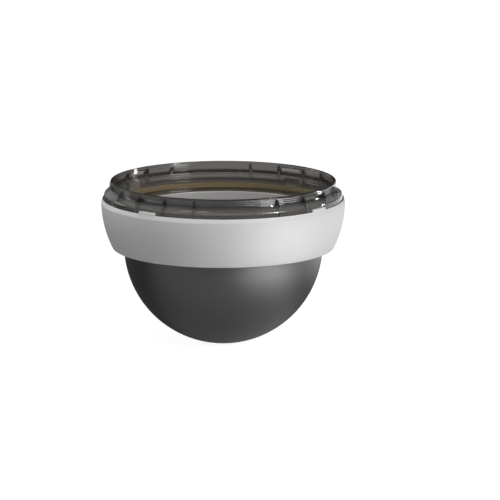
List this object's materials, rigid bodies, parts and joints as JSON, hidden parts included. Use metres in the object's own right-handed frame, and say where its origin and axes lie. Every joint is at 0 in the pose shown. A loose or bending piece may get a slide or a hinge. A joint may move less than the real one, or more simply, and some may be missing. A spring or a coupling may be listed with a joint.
{
  "type": "camera dome bubble",
  "caption": "Smoked hemispherical bubble with an open latching collar and a white trim ring, which covers a pendant camera from below.",
  "frame": {"origin": "on the dome's axis, in the plane of the collar's rim", "axes": "+Z along the axis, out of the open collar; the dome hangs towards -Z. -Y is the side that the picture shows, and the four latching stations lie 52 degrees and every 90 degrees from there about +Z from +X."},
  "size_m": [0.1868, 0.1868, 0.1262],
  "materials": {
    "smoked_plastic": "polished, transparent grey smoke",
    "white_plastic": "satin white moulding"
  },
  "bodies": {
    "root": {"smoked_bubble": "smoked_plastic", "trim_ring": "white_plastic"}
  },
  "joints": []
}
